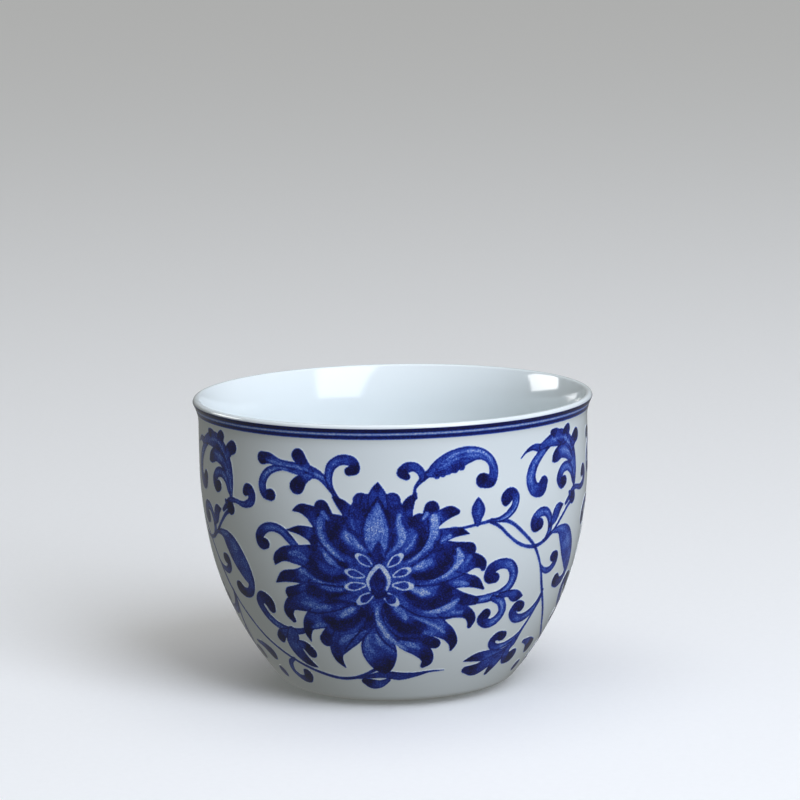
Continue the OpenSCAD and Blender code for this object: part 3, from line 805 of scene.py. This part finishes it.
def cut_out(field):
    """Points (x, y, tone) and faces of the part of the sheet where the field is positive."""
    f = np.column_stack([field, field[:, :1]])
    shade = np.column_stack([tone, tone[:, :1]])
    x, y = np.meshgrid(sheet_x[0] + np.arange(COLUMNS + 1) * GRID, sheet_y)
    grid = np.stack([x, y, shade], axis=-1)
    keep = f > 0

    def crossings(a, b):
        """The points where the field changes sign between two neighbouring corners."""
        share = np.clip(f[a] / (f[a] - f[b] + 1e-12), NARROWEST_CUT, 1 - NARROWEST_CUT)[..., None]
        return keep[a] != keep[b], grid[a] + share * (grid[b] - grid[a])

    cols, next_cols = np.s_[:, :-1], np.s_[:, 1:]
    rows, next_rows = np.s_[:-1, :], np.s_[1:, :]
    points, numbers, count = [], [], 0
    for mask, places in ((keep, grid), crossings(cols, next_cols), crossings(rows, next_rows)):
        number = np.full(mask.shape, -1)
        number[mask] = count + np.arange(np.count_nonzero(mask))
        count += np.count_nonzero(mask)
        points.append(places[mask])
        numbers.append(number)
    corner, flat, upright = numbers
    around = np.stack([
        corner[:-1, :-1], flat[:-1, :], corner[:-1, 1:], upright[:, 1:],
        corner[1:, 1:], flat[1:, :], corner[1:, :-1], upright[:, :-1],
    ], axis=-1).reshape(-1, 8)
    used = around >= 0
    around, used = around[used.sum(1) > 2], used[used.sum(1) > 2]
    return np.vstack(points), around[used], used.sum(1)


def wrap(points, turn):
    """Sheet points as places on the outer wall, PROUD of the glaze, in metres."""
    r, z, out_r, out_z = wall_at(bloom_down - points[:, 1])
    angle = points[:, 0] / upright_r - math.pi / 2 + turn
    r = r + PROUD * out_r
    return np.column_stack([r * np.cos(angle), r * np.sin(angle), z + PROUD * out_z]) * MM


print(f"the bloom's middle lies {bloom_down:.1f} mm down the wall")

# %% Make the three transfers, each in three pieces: bloom, leaves and vines
PIECE_NAMES = {"bloom": "lotus_bloom", "leaf": "scroll_leaves", "vine": "scroll_vines"}


def print_piece(name, cut, turn):
    """One group of motifs as a closed piece of colour, turned round the cup to its transfer."""
    points, loops, counts = cut
    mesh = bpy.data.meshes.new(name)
    mesh.vertices.add(len(points))
    mesh.vertices.foreach_set("co", wrap(points, turn).ravel())
    mesh.loops.add(len(loops))
    mesh.loops.foreach_set("vertex_index", loops)
    mesh.polygons.add(len(counts))
    mesh.polygons.foreach_set("loop_start", np.r_[0, np.cumsum(counts)[:-1]])
    mesh.update(calc_edges=True)
    strength = mesh.attributes.new("strength", "FLOAT", "POINT")
    strength.data.foreach_set("value", points[:, 2].astype(np.float32))
    piece = new_piece(name, mesh)
    wall_of_colour = piece.modifiers.new("thickness", "SOLIDIFY")
    wall_of_colour.thickness = THICK * MM
    wall_of_colour.offset = -1
    bpy.ops.object.modifier_apply(modifier=wall_of_colour.name)
    bpy.ops.object.shade_smooth_by_angle(angle=SHARP_EDGE)
    return piece


group_cuts = {group: cut_out(field) for group, field in reach.items()}
cobalt_pieces = []
for number in range(1, SHEET_COUNT + 1):
    turn = 2 * math.pi * (number - 1) / SHEET_COUNT
    for group, cut in group_cuts.items():
        piece = print_piece(f"{PIECE_NAMES[group]}_{number}", cut, turn)
        stand_for(piece, "cobalt_blue", f"lotus_transfer_{number}")
        cobalt_pieces.append(piece)
        triangles = sum(len(p.vertices) - 2 for p in piece.data.polygons)
        print(f"{piece.name}: {triangles} triangles")

# %% [markdown]
# ## Materials
# Everything here is porcelain and what has been fired on to it. A small function turns a web
# colour into the linear numbers that Blender mixes light with, and another adds a node with its
# settings and links. Patterns are sized in real millimetres on Object coordinates, which count
# metres.

# %% Helpers for colours, nodes and materials
def linear(colour):
    """A hex sRGB colour as linear RGBA."""
    parts = [int(colour[i:i + 2], 16) / 255 for i in (1, 3, 5)]
    return (*[c / 12.92 if c <= 0.04045 else ((c + 0.055) / 1.055) ** 2.4 for c in parts], 1)


def add_node(tree, kind, inputs=None, **settings):
    """Adds a node. An input is given a value, or is linked if it is given a socket."""
    made = tree.nodes.new("ShaderNode" + kind)
    for key, value in settings.items():
        setattr(made, key, value)
    for key, value in (inputs or {}).items():
        if isinstance(value, bpy.types.NodeSocket):
            tree.links.new(value, made.inputs[key])
        else:
            made.inputs[key].default_value = value
    return made


def set_stops(ramp, stops):
    """Gives a Color Ramp its stops, as (position, linear RGBA)."""
    while len(ramp.color_ramp.elements) < len(stops):
        ramp.color_ramp.elements.new(0.5)
    for element, (position, colour) in zip(ramp.color_ramp.elements, stops):
        element.position = position
        element.color = colour


def per(size_mm):
    """A noise scale that repeats about once in a size, on coordinates in metres."""
    return 1 / (size_mm * MM)


def new_material(name):
    """A material, its node tree, its shader's node and the Object coordinates."""
    material = bpy.data.materials.new(name)
    material.use_nodes = True
    tree = material.node_tree
    shader = tree.nodes["Principled BSDF"]
    place = add_node(tree, "TexCoord").outputs["Object"]
    return material, tree, shader, place


def finish_with(material, *pieces):
    """Gives pieces a material in place of any they have."""
    for piece in pieces:
        piece.data.materials.clear()
        piece.data.materials.append(material)


print("mid grey in linear numbers:", [round(c, 3) for c in linear("#808080")])

# %% [markdown]
# ### Clear glaze over white porcelain
# The body is white clay, and over it lies a quarter of a millimetre of glass. The glass gives a
# sharp reflection, so the roughness is low, and its IOR is 1.5. It is never quite flat: it
# pulls into soft waves a few millimetres apart, which is called orange peel, and they make the
# reflections of the lamps waver. A trace of iron in the glaze turns the white a little blue,
# and a few pinheads of dust show as faint grey specks.

# %% The glaze's waves and its white, shared by the plain glaze and the cobalt in it
GLAZE_WHITE, GLAZE_COOL = "#e9eff0", "#e3eaec"
GLAZE_ROUGHNESS = 0.07
GLAZE_IOR = 1.5


def glaze_surface(tree, shader, place):
    """The gloss and the waves that all glazed porcelain shares."""
    waves = add_node(tree, "TexNoise", {"Vector": place, "Scale": per(4), "Detail": 1.0})
    bump = add_node(tree, "Bump", {
        "Height": waves.outputs["Fac"], "Strength": 0.10, "Distance": 0.05 * MM,
    })
    tree.links.new(bump.outputs["Normal"], shader.inputs["Normal"])
    shader.inputs["Roughness"].default_value = GLAZE_ROUGHNESS
    shader.inputs["IOR"].default_value = GLAZE_IOR


def glaze_white(tree, place):
    """White with a slow drift towards a cooler white."""
    drift = add_node(tree, "TexNoise", {"Vector": place, "Scale": per(25), "Detail": 2.0})
    return add_node(tree, "MixRGB", {
        "Fac": drift.outputs["Fac"], "Color1": linear(GLAZE_WHITE), "Color2": linear(GLAZE_COOL),
    }).outputs["Color"]


glaze, tree, shader, place = new_material("clear_glaze_on_porcelain")
glaze_surface(tree, shader, place)
dust = add_node(tree, "TexVoronoi", {"Vector": place, "Scale": per(9)})
speck = add_node(tree, "MapRange", {
    "Value": dust.outputs["Distance"], "From Min": 0.012, "From Max": 0.02,
    "To Min": 0.35, "To Max": 0.0,
})
specked = add_node(tree, "MixRGB", {
    "Fac": speck.outputs["Result"], "Color1": glaze_white(tree, place), "Color2": linear("#8f8f94"),
})
tree.links.new(specked.outputs["Color"], shader.inputs["Base Color"])
finish_with(glaze, turned["glaze_outside"], turned["glaze_inside"], pool)
print("glaze:", glaze.name)

# %% [markdown]
# ### Cobalt in the glaze
# The print is made of tiny dots of cobalt oxide. Where they are thick the blue is nearly black,
# and where they are thin the white shows through and it turns pale. The attribute that the
# drawing left on the points says how thick the colour is. Noise about a quarter of a millimetre
# across stands for the dots, which are really finer and are drawn as coarse as the eye needs.

# %% The cobalt's scale of blues, from bare glaze to the thickest colour
BLUES = [
    (0.0, GLAZE_WHITE), (0.12, "#bccbe8"), (0.3, "#6488da"), (0.5, "#2f4fb4"),
    (0.7, "#182c8e"), (0.88, "#0e1763"), (1.0, "#080939"),
]


def cobalt_colour(tree, place, strength, grain=0.3, dot_mm=0.26, clouding=0.5):
    """Blue for a strength from 0 to 1, broken into dots that fade where there is no colour."""
    dots = add_node(tree, "TexNoise", {
        "Vector": place, "Scale": per(dot_mm), "Detail": 2.0, "Roughness": 0.7,
    })
    clouds = add_node(tree, "TexNoise", {"Vector": place, "Scale": per(2.5), "Detail": 2.0})
    around_zero = add_node(tree, "Math", {0: dots.outputs["Fac"], 1: 0.5}, operation="SUBTRACT")
    cloudy = add_node(tree, "Math", {0: clouds.outputs["Fac"], 1: 0.5}, operation="SUBTRACT")
    cloudy = add_node(tree, "Math", {0: cloudy.outputs[0], 1: clouding}, operation="MULTIPLY")
    both = add_node(tree, "Math", {0: around_zero.outputs[0], 1: cloudy.outputs[0]}, operation="ADD")
    there = add_node(tree, "MapRange", {"Value": strength, "From Max": 0.25, "To Max": grain * 4})
    there = there.outputs["Result"]
    broken = add_node(tree, "Math", {0: both.outputs[0], 1: there}, operation="MULTIPLY")
    total = add_node(
        tree, "Math", {0: broken.outputs[0], 1: strength}, operation="ADD", use_clamp=True
    )
    ramp = add_node(tree, "ValToRGB", {"Fac": total.outputs[0]})
    set_stops(ramp, [(position, linear(blue)) for position, blue in BLUES])
    return ramp.outputs["Color"]


cobalt, tree, shader, place = new_material("cobalt_printed_in_glaze")
glaze_surface(tree, shader, place)
strength = add_node(tree, "Attribute", attribute_name="strength").outputs["Fac"]
tree.links.new(cobalt_colour(tree, place, strength), shader.inputs["Base Color"])
finish_with(cobalt, *cobalt_pieces)
print("cobalt:", len(BLUES), "blues")

# %% [markdown]
# ### The rim's lines and wash
# The two lines and the pale wash between them are one banded transfer. The upper line is even.
# The lower one ends in a ragged, dotted edge, and a hair of white runs through the wash. All
# three are bands in height, so their strength is a curve over the height above the table.

# %% Strength of the bands over their height
line_low, line_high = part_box("rim_line_lower")[0].z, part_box("rim_line_upper")[1].z
wash_low, wash_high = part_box("rim_wash")[0].z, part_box("rim_wash")[1].z
BAND_STOPS = [
    (line_low, 0.15), (line_low + 0.15 * MM, 0.6), (line_low + 0.3 * MM, 0.88),
    (wash_low - 0.1 * MM, 0.9), (wash_low + 0.08 * MM, 0.42), ((wash_low + wash_high) / 2, 0.12),
    (wash_high - 0.08 * MM, 0.46), (wash_high + 0.1 * MM, 0.95), (line_high - 0.08 * MM, 0.95),
    (line_high, 0.8),
]
band, tree, shader, place = new_material("cobalt_bands_in_glaze")
glaze_surface(tree, shader, place)
height = add_node(tree, "SeparateXYZ", {"Vector": place}).outputs["Z"]
share = add_node(tree, "MapRange", {"Value": height, "From Min": line_low, "From Max": line_high})
ramp = add_node(tree, "ValToRGB", {"Fac": share.outputs["Result"]})
band_height = line_high - line_low
set_stops(ramp, [((z - line_low) / band_height, (v, v, v, 1)) for z, v in BAND_STOPS])
band_blue = cobalt_colour(tree, place, ramp.outputs["Color"], grain=0.22, clouding=0.1)
tree.links.new(band_blue, shader.inputs["Base Color"])
band_names = ("cobalt_line_upper", "cobalt_wash_band", "cobalt_line_lower")
finish_with(band, *[turned[name] for name in band_names])
print("bands from", round(line_low / MM, 2), "to", round(line_high / MM, 2), "mm")

# %% [markdown]
# ### Bare biscuit
# The foot ring is wiped clean before firing, because glaze would stick it to the kiln shelf.
# Bare fired porcelain is matt and a little warm, with a grain like fine sugar and a few dark
# specks from the shelf's sand. The clay body inside the glaze is the same.

# %% The biscuit
biscuit, tree, shader, place = new_material("bare_biscuit_porcelain")
grain = add_node(tree, "TexNoise", {"Vector": place, "Scale": per(0.35), "Detail": 3.0})
sand = add_node(tree, "TexVoronoi", {"Vector": place, "Scale": per(1.6)})
sand_spot = add_node(tree, "MapRange", {
    "Value": sand.outputs["Distance"], "From Min": 0.06, "From Max": 0.1,
    "To Min": 0.5, "To Max": 0.0,
})
clay = add_node(tree, "MixRGB", {
    "Fac": grain.outputs["Fac"], "Color1": linear("#e3dccf"), "Color2": linear("#efe9de"),
})
clay = add_node(tree, "MixRGB", {
    "Fac": sand_spot.outputs["Result"], "Color1": clay.outputs["Color"], "Color2": linear("#a5937c"),
})
tree.links.new(clay.outputs["Color"], shader.inputs["Base Color"])
bump = add_node(tree, "Bump", {
    "Height": grain.outputs["Fac"], "Strength": 0.4, "Distance": 0.04 * MM,
})
tree.links.new(bump.outputs["Normal"], shader.inputs["Normal"])
shader.inputs["Roughness"].default_value = 0.85
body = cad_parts["porcelain_body"]
finish_with(biscuit, ring, body)
print("biscuit on:", ring.name, "and", body.name)

# %% [markdown]
# ## Floor and light
# Glossy white ware is lit with big soft boxes, because a glaze shows every lamp as a patch of
# its shape. The key box stands in front on the right and shows as a soft patch inside the cup.
# A smaller one on the left gives the sharp glint under the back of the lip. A soft light from
# straight above evens the floor, and the rest of the studio is kept rather dark, so that the
# far side of the wall turns grey and the roundness reads. For the same reason the cup neither
# gets light from the floor nor mirrors it, as when black card is laid round its foot.

# %% The floor
FLOOR_HALF = 10.0
floor_mesh = bpy.data.meshes.new("floor")
floor_corners = [(-1, -1), (1, -1), (1, 1), (-1, 1)]
floor_mesh.from_pydata(
    [(x * FLOOR_HALF, y * FLOOR_HALF, cad_box[0].z) for x, y in floor_corners], [], [(0, 1, 2, 3)]
)
floor = new_piece("floor", floor_mesh)
floor.visible_diffuse = False
floor.visible_glossy = False
paper, tree, shader, place = new_material("pale_paper")
fibre = add_node(tree, "TexNoise", {"Vector": place, "Scale": per(1.5), "Detail": 3.0})
tint = add_node(tree, "MixRGB", {
    "Fac": fibre.outputs["Fac"], "Color1": linear("#f6f6f6"), "Color2": linear("#fafafa"),
})
tree.links.new(tint.outputs["Color"], shader.inputs["Base Color"])
shader.inputs["Roughness"].default_value = 0.9
finish_with(paper, floor)
print("floor at z =", floor_mesh.vertices[0].co.z)


# %% The lamps and the surrounding light
def soft_box(name, side, above, away, size, radiance, fade, colour="#ffffff"):
    """A soft box that faces the cup and fades towards its edges."""
    lamp = bpy.data.lights.new(name, "AREA")
    lamp.shape = "RECTANGLE"
    lamp.size, lamp.size_y = size
    lamp.energy = radiance * math.pi * size[0] * size[1]
    lamp.color = linear(colour)[:3]
    lamp.use_nodes = True
    tree = lamp.node_tree
    on_lamp = add_node(tree, "NewGeometry").outputs["Parametric"]
    across = add_node(tree, "SeparateXYZ", {"Vector": on_lamp})
    share = 1.0
    for axis in ("X", "Y"):
        off = add_node(tree, "Math", {0: across.outputs[axis], 1: 0.5}, operation="SUBTRACT")
        off = add_node(tree, "Math", {0: off.outputs[0]}, operation="ABSOLUTE")
        near = add_node(tree, "MapRange", {
            "Value": off.outputs[0], "From Min": 0.5, "From Max": 0.5 - fade,
        }, interpolation_type="SMOOTHSTEP")
        near = near.outputs["Result"]
        share = add_node(tree, "Math", {0: near, 1: share}, operation="MULTIPLY").outputs[0]
    tree.links.new(share, tree.nodes["Emission"].inputs["Strength"])
    towards = direction(side, above)
    obj = bpy.data.objects.new(name, lamp)
    obj.location = centre + away * towards
    obj.rotation_euler = (-towards).to_track_quat("-Z", "Y").to_euler()
    bpy.context.scene.collection.objects.link(obj)
    return obj


soft_box(
    "key_box", side=40, above=36, away=1.2, size=(0.8, 1.6), radiance=5.6, fade=0.16,
    colour="#ebf2ff",
)
glint = soft_box(
    "glint_box", side=-110, above=22, away=1.0, size=(0.5, 0.32), radiance=9, fade=0.1
)
glint.visible_diffuse = False
overhead = bpy.data.lights.new("overhead", "SUN")
overhead.angle = math.radians(60)
overhead.energy = 0.85
bpy.context.scene.collection.objects.link(bpy.data.objects.new("overhead", overhead))
world = bpy.data.worlds.new("studio")
world.use_nodes = True
backdrop = world.node_tree.nodes["Background"]
backdrop.inputs["Color"].default_value = linear("#f4f6f2")
backdrop.inputs["Strength"].default_value = 0.2
bpy.context.scene.world = world
bpy.context.scene.view_settings.view_transform = "Standard"
